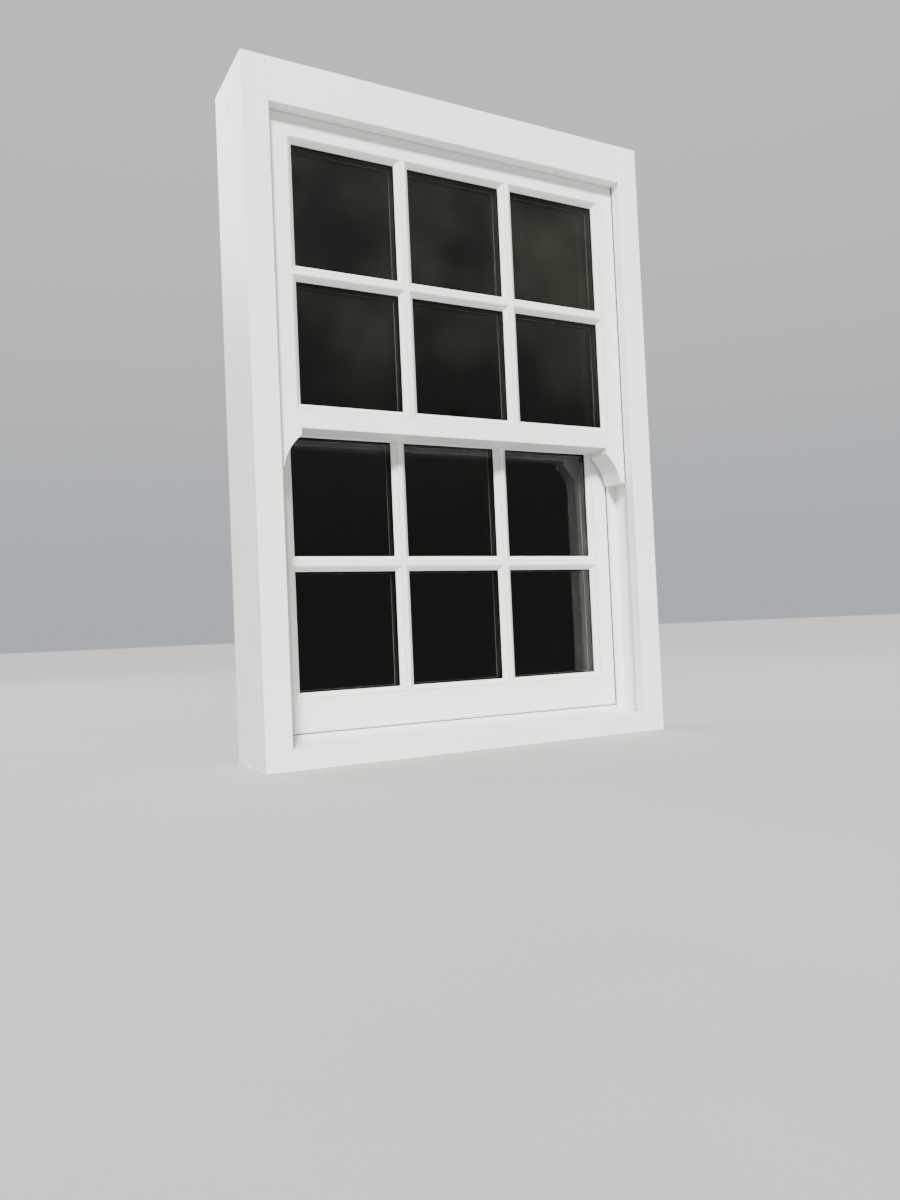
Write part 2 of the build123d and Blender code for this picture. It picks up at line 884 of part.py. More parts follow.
# Hook lifts: a plate on the bottom rail and a hook that fingers reach from below
lift_low = lower_bottom + lift_rise
lift_top = lift_low + lift_plate_height
lift_middle = (lift_low + lift_top) / 2
hook_end = lower_back + lift_hook_reach
hook_gap_round = lift_hook_round - lift_hook_thickness
with BuildPart() as lift:
    with BuildSketch(front_plane(lower_back)):
        with Locations((lift_place, lift_middle)):
            RectangleRounded(lift_plate_width, lift_plate_height, lift_corner)
    extrude(amount=-lift_plate_thickness)
    with BuildSketch(Plane.YZ.offset(lift_place)) as hook_profile:
        with BuildLine():
            Polyline(
                (lower_back, lift_top),
                (hook_end, lift_top),
                (hook_end, lift_top - lift_hook_drop),
                (hook_end - lift_hook_thickness, lift_top - lift_hook_drop),
                (hook_end - lift_hook_thickness, lift_top - lift_hook_thickness),
                (lower_back, lift_top - lift_hook_thickness),
                close=True,
            )
        make_face()
        corners = hook_profile.vertices()
        fillet(corners.group_by(Axis.Y)[-1].sort_by(Axis.X)[-1], radius=lift_hook_round)
        inner_corners = hook_profile.vertices().group_by(Axis.Y)[-2]
        fillet(inner_corners.sort_by(Axis.X)[-1], radius=hook_gap_round)
    extrude(amount=lift_hook_width / 2, both=True)
lift_face = lower_back + lift_plate_thickness
lift_screw_planes = [
    Plane((lift_place + side * lift_screw_spread / 2, lift_face, lift_middle), z_dir=(0, 1, 0))
    for side in (-1, 1)
]
right_lift = drilled(lift.part, small_screw_size, lift_screw_planes)
save(right_lift, "sash_lift_right")
save(mirrored(right_lift), "sash_lift_left")
bottom_rail_screws = both_sides(lift_screw_planes) + lower_foot_screws
save(drilled(lower_bottom_rail.part, small_screw_size, bottom_rail_screws), "lower_bottom_rail")

# Fastener: the lever turns on a post on the lower meeting rail
base_top = meeting_top + fastener_base_thickness
fastener_screw_planes = [
    Plane((side * fastener_screw_spread / 2, pivot_y, base_top)) for side in (-1, 1)
]
with BuildPart() as fastener_body:
    with BuildSketch(Plane((0, pivot_y, meeting_top))):
        SlotOverall(fastener_base_length, fastener_base_width)
    extrude(amount=fastener_base_thickness)
    with BuildSketch(Plane((0, pivot_y, meeting_top))):
        Circle(post_radius)
    extrude(amount=fastener_base_thickness + post_height)
    with BuildSketch(Plane((0, pivot_y, post_top))):
        Circle(pivot_radius)
    extrude(amount=lever_thickness + 2 * lever_end_play)
    with BuildSketch(Plane((0, pivot_y, lever_top + lever_end_play))):
        Circle(rivet_radius)
    extrude(amount=rivet_height)
save(drilled(fastener_body.part, small_screw_size, fastener_screw_planes), "fastener_body")
save(drilled(lower_meeting_rail, small_screw_size, fastener_screw_planes), "lower_meeting_rail")

with BuildPart() as lever:
    with BuildSketch(Plane((0, pivot_y, lever_low))):
        Circle(lever_root_radius)
        with Locations((lever_reach, 0)):
            Circle(lever_nose_radius)
        with Locations((-thumb_reach, 0)):
            Circle(thumb_radius)
        make_hull()
        Circle(lever_hub_radius)
        Circle(pivot_radius + pivot_play, mode=Mode.SUBTRACT)
    extrude(amount=lever_thickness)
    with BuildSketch(Plane((-thumb_reach, pivot_y, lever_top))):
        Circle(thumb_radius)
    extrude(amount=thumb_height)
    fillet(lever.faces().sort_by(Axis.Z)[-1].edges(), radius=thumb_radius / 2)
save(lever.part, "fastener_lever")

# Keep: a bridge that the lever's nose would swing under
keep_back = upper_back - keep_edge_gap
keep_front = keep_back - keep_depth
keep_top = meeting_top + keep_height
keep_screw_planes = [
    Plane((side * keep_screw_spread / 2, (keep_front + keep_back) / 2, meeting_top + keep_thickness))
    for side in (-1, 1)
]
with BuildPart() as keep:
    with BuildSketch(Plane((0, (keep_front + keep_back) / 2, meeting_top))):
        RectangleRounded(keep_plate_length, keep_depth, lift_corner)
    extrude(amount=keep_thickness)
    bridge_x = (-keep_bridge_length / 2, keep_bridge_length / 2)
    add(timber(bridge_x, (keep_front, keep_front + keep_thickness), (meeting_top, keep_top)))
    add(timber(bridge_x, (keep_front, keep_front + keep_lip), (keep_top - keep_thickness, keep_top)))
save(drilled(keep.part, small_screw_size, keep_screw_planes), "fastener_keep")
upper_screw_planes = keep_screw_planes + upper_foot_screws
save(drilled(upper_meeting_rail, small_screw_size, upper_screw_planes), "upper_meeting_rail")

save(screws(small_screw_size, upper_screw_planes), "upper_sash_screws")
save(screws(small_screw_size, bottom_rail_screws + fastener_screw_planes), "lower_sash_screws")

# Balances: each tube hangs in its sash's track and takes the rod that stands on the sash's foot
upper_tube_place = (tube_x, upper_front + sash_thickness / 2, upper_tube_low)
lower_tube_place = (tube_x, lower_front + sash_thickness / 2, lower_tube_low)
for make_piece, name in ((balance_tube, "balance_tubes"), (balance_spring, "balance_springs")):
    with BuildPart() as right_pair:
        with Locations(upper_tube_place):
            add(make_piece(upper_tube_length))
        with Locations(lower_tube_place):
            add(make_piece(lower_tube_length))
    with BuildPart() as all_four:
        add(right_pair.part)
        add(mirrored(right_pair.part))
    save(all_four.part, name)

balances = {
    "upper": (upper_front, upper_foot_z, upper_travel, upper_tube_low),
    "lower": (lower_front, lower_foot_z, lower_travel, lower_tube_low),
}
for sash, (front, foot_z, travel, tube_low) in balances.items():
    for side, hand in ((-1, "left"), (1, "right")):
        save(spiral_rod(front, foot_z, travel, side), f"{sash}_spiral_rod_{hand}")
        with BuildPart() as bush:
            with Locations((side * tube_x, front + sash_thickness / 2, tube_low + bush_low)):
                add(balance_bush(tube_low + bush_low - foot_z))
        save(bush.part, f"{sash}_balance_bush_{hand}")
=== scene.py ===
import json
import math

import bmesh
import bpy
from mathutils import Matrix, Vector


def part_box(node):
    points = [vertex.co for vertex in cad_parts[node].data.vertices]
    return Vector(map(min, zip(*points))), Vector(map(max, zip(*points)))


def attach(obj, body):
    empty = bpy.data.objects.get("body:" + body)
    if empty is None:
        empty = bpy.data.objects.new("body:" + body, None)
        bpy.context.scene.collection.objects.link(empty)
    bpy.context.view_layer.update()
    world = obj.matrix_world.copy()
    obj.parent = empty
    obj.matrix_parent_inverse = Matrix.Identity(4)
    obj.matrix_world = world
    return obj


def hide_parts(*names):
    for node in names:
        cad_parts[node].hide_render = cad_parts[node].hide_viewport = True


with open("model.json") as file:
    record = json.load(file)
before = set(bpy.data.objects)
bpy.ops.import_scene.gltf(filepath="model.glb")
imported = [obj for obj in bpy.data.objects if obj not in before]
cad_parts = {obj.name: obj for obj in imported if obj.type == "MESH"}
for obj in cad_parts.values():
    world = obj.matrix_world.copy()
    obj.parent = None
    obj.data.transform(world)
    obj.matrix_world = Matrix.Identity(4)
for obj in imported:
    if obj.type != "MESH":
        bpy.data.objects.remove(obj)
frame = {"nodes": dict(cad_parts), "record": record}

scene = bpy.context.scene
nodes = frame["nodes"]
slotOf = {part["node"]: part["material_slot"] for part in frame["record"]["subparts"]}
bodies = frame["record"]["behaviour"]["bodies"]
bodyOf = {name: body for body, names in bodies.items() for name in names}
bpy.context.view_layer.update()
print("frame loaded:", len(nodes), "nodes")


# The camera stands where the photograph was taken from
cameraSettings = {
    "place": (-0.7296, -1.3230, 0.18505),
    "yaw": 28.34,
    "pitch": 1.90,
    "roll": 2.52,
    "lens": 28.12,
    "sensor": 36.0,
    "nearest": 0.01,
}


def makeCamera(settings):
    yaw, pitch, roll = (math.radians(settings[key]) for key in ("yaw", "pitch", "roll"))
    flat = math.cos(pitch)
    forward = Vector((math.sin(yaw) * flat, math.cos(yaw) * flat, math.sin(pitch)))
    level = Vector((math.cos(yaw), -math.sin(yaw), 0))
    upright = level.cross(forward)
    up = upright * math.cos(roll) + level * math.sin(roll)
    right = level * math.cos(roll) - upright * math.sin(roll)
    data = bpy.data.cameras.new("photoCamera")
    data.lens = settings["lens"]
    data.sensor_width = settings["sensor"]
    data.clip_start = settings["nearest"]
    camera = bpy.data.objects.new("photoCamera", data)
    scene.collection.objects.link(camera)
    turn = Matrix((right, up, -forward)).transposed().to_4x4()
    camera.matrix_world = Matrix.Translation(settings["place"]) @ turn
    scene.camera = camera


makeCamera(cameraSettings)
print("camera set")


# Shader helpers: a source is a number, a colour or another node's output
def connect(tree, source, socket):
    if isinstance(source, bpy.types.NodeSocket):
        tree.links.new(source, socket)
    else:
        socket.default_value = source


def addNode(tree, kind, sources=None, **settings):
    node = tree.nodes.new(kind)
    for key, value in settings.items():
        setattr(node, key, value)
    for key, source in (sources or {}).items():
        connect(tree, source, node.inputs[key])
    return node


def newGroup(name, inputs, outputs):
    group = bpy.data.node_groups.new(name, "ShaderNodeTree")
    for label, kind, value in inputs:
        kind = "NodeSocket" + kind
        socket = group.interface.new_socket(label, in_out="INPUT", socket_type=kind)
        socket.default_value = value
    for label, kind in outputs:
        group.interface.new_socket(label, in_out="OUTPUT", socket_type="NodeSocket" + kind)
    inside, outside = group.nodes.new("NodeGroupInput"), group.nodes.new("NodeGroupOutput")
    return group, inside, outside


def remap(tree, value, fromLow, fromHigh, toLow, toHigh, smooth=False):
    node = addNode(tree, "ShaderNodeMapRange", {
        "Value": value, "From Min": fromLow, "From Max": fromHigh,
        "To Min": toLow, "To Max": toHigh,
    }, interpolation_type="SMOOTHSTEP" if smooth else "LINEAR")
    return node.outputs["Result"]


def mixColour(tree, factor, first, second, blend="MIX"):  # 6, 7 and 2 are the Mix node's colours
    node = addNode(tree, "ShaderNodeMix", data_type="RGBA", blend_type=blend)
    connect(tree, factor, node.inputs[0])
    connect(tree, first, node.inputs[6])
    connect(tree, second, node.inputs[7])
    return node.outputs[2]


def combine(tree, operation, *sources):
    return addNode(tree, "ShaderNodeMath", dict(enumerate(sources)), operation=operation).outputs[0]


def noise(tree, vector, scale, detail, rough):
    node = addNode(tree, "ShaderNodeTexNoise", {
        "Vector": vector, "Scale": scale, "Detail": detail, "Roughness": rough,
    })
    return node.outputs["Fac"]


def stretched(tree, vector, stretch):
    node = addNode(tree, "ShaderNodeVectorMath", {0: vector, 1: stretch}, operation="MULTIPLY")
    return node.outputs["Vector"]


# Brushed paint over planed timber: brush lines along the grain, faint orange peel and drifts of
# tone. Each pattern is its scale, detail and roughness, each range is from where to where.
paintPattern = {
    "brush": (260.0, 3.0, 0.6),
    "grain": (70.0, 4.0, 0.55),
    "peel": (900.0, 2.0, 0.5),
    "drift": (5.0, 3.0, 0.5),
    "specks": (420.0, 1.0, 0.4),
    "toneRange": (0.3, 0.7, 0.0, 1.0),
    "speckRange": (0.70, 0.78, 0.0, 0.25),
    "satinRange": (0.3, 0.7, -0.06, 0.08),
    "peelShare": 0.35,
    "depth": 0.00012,
}


def paintGroup(pattern):
    group, inside, outside = newGroup("paintedSurface", [
        ("Tint", "Color", (0.8, 0.8, 0.8, 1)),
        ("Shade", "Color", (0.7, 0.7, 0.7, 1)),
        ("Stretch", "Vector", (1, 1, 1)),
        ("Roughness", "Float", 0.35),
        ("Height", "Float", 0.5),
    ], [("Colour", "Color"), ("Roughness", "Float"), ("Normal", "Vector")])
    asked = inside.outputs
    place = addNode(group, "ShaderNodeTexCoord").outputs["Object"]
    along = stretched(group, place, asked["Stretch"])
    brush = noise(group, along, *pattern["brush"])
    grain = noise(group, along, *pattern["grain"])
    peel = noise(group, place, *pattern["peel"])
    drift = noise(group, place, *pattern["drift"])
    specks = noise(group, place, *pattern["specks"])
    tone = remap(group, drift, *pattern["toneRange"])
    speck = remap(group, specks, *pattern["speckRange"])
    base = mixColour(group, tone, asked["Tint"], asked["Shade"])
    colour = mixColour(group, speck, base, asked["Shade"], "MULTIPLY")
    lines = combine(group, "ADD", brush, grain)
    relief = combine(group, "MULTIPLY_ADD", peel, pattern["peelShare"], lines)
    satin = remap(group, brush, *pattern["satinRange"])
    rough = combine(group, "ADD", asked["Roughness"], satin)
    bump = addNode(group, "ShaderNodeBump", {
        "Strength": asked["Height"], "Distance": pattern["depth"], "Height": relief,
    })
    connect(group, colour, outside.inputs["Colour"])
    connect(group, rough, outside.inputs["Roughness"])
    connect(group, bump.outputs["Normal"], outside.inputs["Normal"])
    return group


# Fine handling marks on every other finish: smears that dull it and hairlines
marksPattern = {
    "smear": (3.0, 0.6),
    "hair": (800.0, 2.0, 0.5),
    "wornRange": (0.35, 0.75, 0.0, 1.0),
    "depth": 0.00005,
}


def marksGroup(pattern):
    group, inside, outside = newGroup("handlingMarks", [
        ("Tint", "Color", (0.8, 0.8, 0.8, 1)),
        ("Dull", "Color", (0.6, 0.6, 0.6, 1)),
        ("Stretch", "Vector", (1, 1, 1)),
        ("Size", "Float", 60.0),
        ("Roughness", "Float", 0.2),
        ("Spread", "Float", 0.1),
        ("Height", "Float", 0.2),
    ], [("Colour", "Color"), ("Roughness", "Float"), ("Normal", "Vector")])
    asked = inside.outputs
    place = addNode(group, "ShaderNodeTexCoord").outputs["Object"]
    along = stretched(group, place, asked["Stretch"])
    smear = noise(group, place, asked["Size"], *pattern["smear"])
    hair = noise(group, along, *pattern["hair"])
    worn = remap(group, smear, *pattern["wornRange"])
    colour = mixColour(group, worn, asked["Tint"], asked["Dull"])
    swing = combine(group, "MULTIPLY", combine(group, "ADD", worn, hair), asked["Spread"])
    rough = combine(group, "ADD", asked["Roughness"], swing)
    bump = addNode(group, "ShaderNodeBump", {
        "Strength": asked["Height"], "Distance": pattern["depth"], "Height": hair,
    })
    connect(group, colour, outside.inputs["Colour"])
    connect(group, rough, outside.inputs["Roughness"])
    connect(group, bump.outputs["Normal"], outside.inputs["Normal"])
    return group


paintedSurface = paintGroup(paintPattern)
handlingMarks = marksGroup(marksPattern)


def newMaterial(name, group, groupSources, **sockets):
    material = bpy.data.materials.new(name)
    material.use_nodes = True
    tree = material.node_tree
    shader = tree.nodes["Principled BSDF"]
    made = addNode(tree, "ShaderNodeGroup", node_tree=group)
    for key, source in groupSources.items():
        made.inputs[key].default_value = source
    connect(tree, made.outputs["Colour"], shader.inputs["Base Color"])
    connect(tree, made.outputs["Roughness"], shader.inputs["Roughness"])
    if groupSources["Height"]:  # glass and floor are flat
        connect(tree, made.outputs["Normal"], shader.inputs["Normal"])
    for key, value in sockets.items():
        shader.inputs[key.replace("_", " ")].default_value = value
    return material


paintSettings = {
    "tint": (0.86, 0.865, 0.86, 1),
    "shade": (0.80, 0.808, 0.81, 1),
    "roughness": 0.36,
    "height": 0.45,
    "upright": (1.0, 1.0, 0.06),
    "level": (0.06, 1.0, 1.0),
    "even": (1.0, 1.0, 1.0),
    "coat": 0.12,
    "coatRoughness": 0.22,
}


def paintMaterial(name, run, settings):
    return newMaterial(name, paintedSurface, {
        "Tint": settings["tint"],
        "Shade": settings["shade"],
        "Stretch": settings[run],
        "Roughness": settings["roughness"],
        "Height": settings["height"],
    }, Coat_Weight=settings["coat"], Coat_Roughness=settings["coatRoughness"])


paintUpright = paintMaterial("paintUpright", "upright", paintSettings)
paintLevel = paintMaterial("paintLevel", "level", paintSettings)
paintEven = paintMaterial("paintEven", "even", paintSettings)


# Glass: the outer sheet is clear and the room-side sheet is painted near black, a painted shade
# that stands in for a dark room behind the panes
glassSettings = {
    "clear": (0.95, 0.97, 0.96, 1),
    "smeared": (0.90, 0.93, 0.92, 1),
    # painted shade: the room-side sheet's near-black colour stands in for a dark room behind clear
    # glass
    "tint": (0.012, 0.016, 0.015, 1),
    "smearSize": 9.0,
    "roughness": 0.004,
    "spread": 0.006,
    "index": 1.45,
}


def glassMaterial(name, sash, settings):
    low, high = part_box(sash + "_glass_1")
    middle = (low.y + high.y) / 2
    material = newMaterial(name, handlingMarks, {
        "Tint": settings["clear"],
        "Dull": settings["smeared"],
        "Size": settings["smearSize"],
        "Roughness": settings["roughness"],
        "Spread": settings["spread"],
        "Height": 0.0,
    }, Transmission_Weight=1.0, IOR=settings["index"])
    tree = material.node_tree
    colour = tree.nodes["Principled BSDF"].inputs["Base Color"]
    place = addNode(tree, "ShaderNodeTexCoord").outputs["Object"]
    depth = addNode(tree, "ShaderNodeSeparateXYZ", {0: place}).outputs["Y"]
    # picks the room-side sheet, which gets the near-black painted shade
    roomSheetShadeMask = combine(tree, "GREATER_THAN", depth, middle)
    clear = colour.links[0].from_socket
    connect(tree, mixColour(tree, roomSheetShadeMask, clear, settings["tint"]), colour)
    return material


glassOf = {
    "upper": glassMaterial("glassUpper", "upper", glassSettings),
    "lower": glassMaterial("glassLower", "lower", glassSettings),
}

chrome = newMaterial("polishedChrome", handlingMarks, {
    "Tint": (0.83, 0.84, 0.86, 1), "Dull": (0.74, 0.75, 0.78, 1), "Stretch": (1, 1, 1),
    "Size": 45.0, "Roughness": 0.07, "Spread": 0.05, "Height": 0.08,
}, Metallic=1.0)
zinc = newMaterial("zincScrew", handlingMarks, {
    "Tint": (0.60, 0.60, 0.58, 1), "Dull": (0.45, 0.45, 0.46, 1), "Stretch": (1, 1, 1),
    "Size": 240.0, "Roughness": 0.26, "Spread": 0.12, "Height": 0.25,
}, Metallic=1.0)
steel = newMaterial("drawnSteel", handlingMarks, {
    "Tint": (0.52, 0.53, 0.55, 1), "Dull": (0.40, 0.41, 0.43, 1), "Stretch": (1, 1, 0.05),
    "Size": 90.0, "Roughness": 0.24, "Spread": 0.12, "Height": 0.3,
}, Metallic=1.0)
nylon = newMaterial("mouldedNylon", handlingMarks, {
    "Tint": (0.84, 0.84, 0.80, 1), "Dull": (0.76, 0.76, 0.71, 1), "Stretch": (1, 1, 1),
    "Size": 160.0, "Roughness": 0.42, "Spread": 0.10, "Height": 0.35,
}, Subsurface_Weight=0.1)
tube = newMaterial("coatedTube", handlingMarks, {
    "Tint": (0.82, 0.83, 0.84, 1), "Dull": (0.74, 0.75, 0.77, 1), "Stretch": (1, 1, 0.05),
    "Size": 70.0, "Roughness": 0.32, "Spread": 0.10, "Height": 0.25,
}, Coat_Weight=0.2)
blackSpacer = newMaterial("warmEdgeSpacer", handlingMarks, {
    "Tint": (0.012, 0.012, 0.013, 1), "Dull": (0.022, 0.022, 0.024, 1), "Stretch": (1, 1, 1),
    "Size": 120.0, "Roughness": 0.48, "Spread": 0.12, "Height": 0.4,
})

finishOf = {
    "spacer": blackSpacer,
    "balance_tube": tube,
    "spring_steel": steel,
    "bush_nylon": nylon,
    "chrome": chrome,
    "screw_steel": zinc,
}
uprightWords = (
    "stile", "jamb", "lining_left", "lining_right", "bead_left", "bead_right",
    "upper_bars", "lower_bars",
)


def finishFor(name):  # brush lines run along each timber
    if "_glass_" in name:
        return glassOf[name.split("_")[0]]
    if slotOf[name] != "white_timber":
        return finishOf[slotOf[name]]
    if "glazing_beads" in name:
        return paintEven
    return paintUpright if any(word in name for word in uprightWords) else paintLevel


for name, node in nodes.items():
    node.data.materials.clear()
    node.data.materials.append(finishFor(name))
print("materials on all nodes")


# A piece's modifiers become its plain mesh
def settle(piece):
    bpy.context.view_layer.update()
    evaluated = piece.evaluated_get(bpy.context.evaluated_depsgraph_get())
    mesh = bpy.data.meshes.new_from_object(evaluated)
    piece.modifiers.clear()
    piece.data = mesh


# Painted timber and chrome ironmongery with their sharp arrises taken off
arrisSettings = {
    "timber": 0.0007,
    "beads": 0.0003,
    "chrome": 0.0004,
    "segments": 2,
    "sharpFrom": 32.0,
    "flatWithin": 0.6,
    "mergeWithin": 0.000002,
    "footChamfer": 0.003,
}


# The bottom rail's chamfer runs on across the feet of the lower stiles
def chamferFoot(bm, low, size):
    parts = bm.verts[:] + bm.edges[:] + bm.faces[:]
    start, way = (low.x, low.y, low.z + size), (0, -1, -1)
    cut = bmesh.ops.bisect_plane(bm, geom=parts, plane_co=start, plane_no=way, clear_outer=True)
    edges = [part for part in cut["geom_cut"] if isinstance(part, bmesh.types.BMEdge)]
    bmesh.ops.contextual_create(bm, geom=edges)
    bmesh.ops.recalc_face_normals(bm, faces=bm.faces)


def easedCopy(name, width, settings):
    sharp = math.radians(settings["sharpFrom"])
    bm = bmesh.new()
    bm.from_mesh(nodes[name].data)
    bmesh.ops.remove_doubles(bm, verts=bm.verts, dist=settings["mergeWithin"])
    flat = math.radians(settings["flatWithin"])
    bmesh.ops.dissolve_limit(bm, angle_limit=flat, verts=bm.verts, edges=bm.edges)
    if name.startswith("lower_stile"):
        chamferFoot(bm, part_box(name)[0], settings["footChamfer"])
    mesh = bpy.data.meshes.new(name + ".eased")
    bm.to_mesh(mesh)
    bm.free()
    piece = bpy.data.objects.new(name + ".eased", mesh)
    scene.collection.objects.link(piece)
    mesh.materials.append(finishFor(name))
    mesh.polygons.foreach_set("use_smooth", [True] * len(mesh.polygons))
    mesh.set_sharp_from_angle(angle=sharp)
    bevel = piece.modifiers.new("arris", "BEVEL")
    bevel.width = width
    bevel.segments = settings["segments"]
    bevel.limit_method = "ANGLE"
    bevel.angle_limit = sharp
    bevel.use_clamp_overlap = False
    weighted = piece.modifiers.new("flats", "WEIGHTED_NORMAL")
    weighted.keep_sharp = False
    settle(piece)
    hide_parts(name)
    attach(piece, bodyOf[name])


for name in sorted(nodes):
    if slotOf[name] == "chrome":
        easedCopy(name, arrisSettings["chrome"], arrisSettings)
    elif "glazing_beads" in name:
        easedCopy(name, arrisSettings["beads"], arrisSettings)
    elif slotOf[name] == "white_timber":
        easedCopy(name, arrisSettings["timber"], arrisSettings)
print("timber and ironmongery eased")


# Geometry Nodes helpers: each tree grows a piece on a mesh that is only points
def newTree(name, inputs):
    tree = bpy.data.node_groups.new(name, "GeometryNodeTree")
    tree.interface.new_socket("Geometry", in_out="INPUT", socket_type="NodeSocketGeometry")
    for label, kind in inputs:
        tree.interface.new_socket(label, in_out="INPUT", socket_type="NodeSocket" + kind)
    tree.interface.new_socket("Geometry", in_out="OUTPUT", socket_type="NodeSocketGeometry")
    inside, outside = tree.nodes.new("NodeGroupInput"), tree.nodes.new("NodeGroupOutput")
    return tree, inside, outside


def endTree(tree, instances, material, outside):
    real = addNode(tree, "GeometryNodeRealizeInstances", {"Geometry": instances})
    dressed = addNode(tree, "GeometryNodeSetMaterial", {
        "Geometry": real.outputs[0], "Material": material,
    })
    connect(tree, dressed.outputs[0], outside.inputs["Geometry"])


def grownPiece(name, tree, points, values, body, slot, facings=None):
    mesh = bpy.data.meshes.new(name)
    mesh.from_pydata(points, [], [])
    if facings:
        facing = mesh.attributes.new("facing", "FLOAT_VECTOR", "POINT")
        facing.data.foreach_set("vector", [part for way in facings for part in way])
    piece = bpy.data.objects.new(name, mesh)
    scene.collection.objects.link(piece)
    modifier = piece.modifiers.new("grown", "NODES")
    modifier.node_group = tree
    for item in tree.interface.items_tree:
        if item.in_out == "INPUT" and item.name in values:
            modifier[item.identifier] = values[item.name]
    settle(piece)
    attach(piece, body)
    return piece


# Lines that follow each pane: sealant on both faces of the unit, the bright edge of the spacer near
# the room-side sheet, and a dark line in the joint where the beads meet the timber, which is
# painted shade of that crease as well as a filled paint crack. The inset is from the sight line,
# the depth from the unit's outer face, and the unit laps behind the sight line.
paneLineSettings = {
    "profileSides": 8,
    "unitLap": 0.0055,
    "lines": {
        "sealOutside": {"inset": -0.0002, "depth": 0.0, "radius": 0.00050,
                        "finish": "sealant", "slot": "spacer"},
        "sealRoom": {"inset": -0.0002, "depth": 0.0200, "radius": 0.00055,
                     "finish": "sealant", "slot": "spacer"},
        "spacerEdge": {"inset": 0.0023, "depth": 0.0155, "radius": 0.00040,
                       "finish": "foil", "slot": "spacer"},
        # dark line in the crease between bead and bar: painted shade of the crease, partly a filled
        # paint crack
        "beadJoint": {"inset": -0.0075, "depth": -0.0085, "radius": 0.00042,
                      "finish": "joint", "slot": "white_timber"},
    },
}
sealant = newMaterial("whiteSealant", handlingMarks, {
    "Tint": (0.66, 0.67, 0.67, 1), "Dull": (0.52, 0.53, 0.53, 1), "Stretch": (1, 1, 1),
    "Size": 190.0, "Roughness": 0.42, "Spread": 0.12, "Height": 0.5,
})
spacerFoil = newMaterial("spacerFoil", handlingMarks, {
    "Tint": (0.62, 0.63, 0.64, 1), "Dull": (0.42, 0.43, 0.44, 1), "Stretch": (1, 1, 1),
    "Size": 210.0, "Roughness": 0.28, "Spread": 0.10, "Height": 0.3,
}, Metallic=0.9)
# dark grey: painted shade in the bead joint, partly a filled paint crack
joint = newMaterial("jointCrackAndShade", handlingMarks, {
    "Tint": (0.17, 0.17, 0.165, 1), "Dull": (0.30, 0.30, 0.29, 1), "Stretch": (1, 1, 1),
    "Size": 130.0, "Roughness": 0.6, "Spread": 0.12, "Height": 0.3,
})
lineFinish = {"sealant": sealant, "foil": spacerFoil, "joint": joint}


def paneLineTree(sides):
    tree, inside, outside = newTree("paneLines", [
        ("Width", "Float"), ("Height", "Float"), ("Radius", "Float"), ("Finish", "Material"),
    ])
    frameCurve = addNode(tree, "GeometryNodeCurvePrimitiveQuadrilateral", {
        "Width": inside.outputs["Width"], "Height": inside.outputs["Height"],
    })
    upright = addNode(tree, "GeometryNodeTransform", {
        "Geometry": frameCurve.outputs[0], "Rotation": (math.radians(90), 0, 0),
    })
    ring = addNode(tree, "GeometryNodeCurvePrimitiveCircle", {
        "Resolution": sides, "Radius": inside.outputs["Radius"],
    })
    line = addNode(tree, "GeometryNodeCurveToMesh", {
        "Curve": upright.outputs[0], "Profile Curve": ring.outputs[0],
    })
    placed = addNode(tree, "GeometryNodeInstanceOnPoints", {
        "Points": inside.outputs["Geometry"], "Instance": line.outputs[0],
    })
    endTree(tree, placed.outputs[0], inside.outputs["Finish"], outside)
    return tree


def growPaneLines(settings):
    tree = paneLineTree(settings["profileSides"])
    for sash in ("upper", "lower"):
        boxes = [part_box(f"{sash}_glass_{number}") for number in range(1, 7)]
        middles = [(low + high) / 2 for low, high in boxes]
        low, high = boxes[0]
        for name, line in settings["lines"].items():
            beyond = 2 * (settings["unitLap"] + line["inset"])
            places = [(middle.x, low.y + line["depth"], middle.z) for middle in middles]
            grownPiece(f"{sash}_{name}", tree, places, {
                "Width": high.x - low.x - beyond,
                "Height": high.z - low.z - beyond,
                "Radius": line["radius"],
                "Finish": lineFinish[line["finish"]],
            }, sash + "_sash", line["slot"])


growPaneLines(paneLineSettings)
print("sealant and spacer lines grown")


# Brush seals: rows of short tufts between the sashes and the beads and sill that they close on.
# Each strip has the places where its rows start, their length, how far the tufts reach and how
# broad they are, the way the rows run and the body that carries them. In the outer and lower tracks
# they stand about a millimetre proud of the lining and the parting beads, so that their near-black
# pile also paints the shade of those gaps.
upJamb = Matrix.Identity(3).to_euler()
alongSill = Matrix(((0, 0, 1), (1, 0, 0), (0, 1, 0))).to_euler()  # tufts point down
sealSettings = {
    "tuftPitch": 0.0012,
    "tuftLength": 0.00115,
    "tip": 0.85,
    "strips": {
        "outerTrack": {
            "starts": [(side * 0.3113, -0.0525, 0.4300) for side in (-1, 1)],
            "length": 0.5200, "reach": 0.0015, "breadth": 0.0036, "run": upJamb, "body": "frame",
        },
        "upperTrack": {
            "starts": [(side * 0.3100, -0.0060, 0.4300) for side in (-1, 1)],
            "length": 0.5240, "reach": -0.0010, "breadth": 0.0040, "run": upJamb, "body": "frame",
        },
        "lowerTrack": {
            "starts": [(side * 0.3082, 0.0000, 0.0470) for side in (-1, 1)],
            "length": 0.4720, "reach": 0.0010, "breadth": 0.0040, "run": upJamb, "body": "frame",
        },
        "roomTrack": {
            "starts": [(side * 0.3140, 0.0465, 0.0580) for side in (-1, 1)],
            "length": 0.4600, "reach": -0.0015, "breadth": 0.0040, "run": upJamb, "body": "frame",
        },
        "sashFoot": {
            "starts": [(-0.3200, 0.0036, 0.0434)], "length": 0.6400,
            "reach": -0.0010, "breadth": 0.0010, "run": alongSill, "body": "lower_sash",
        },
    },
}
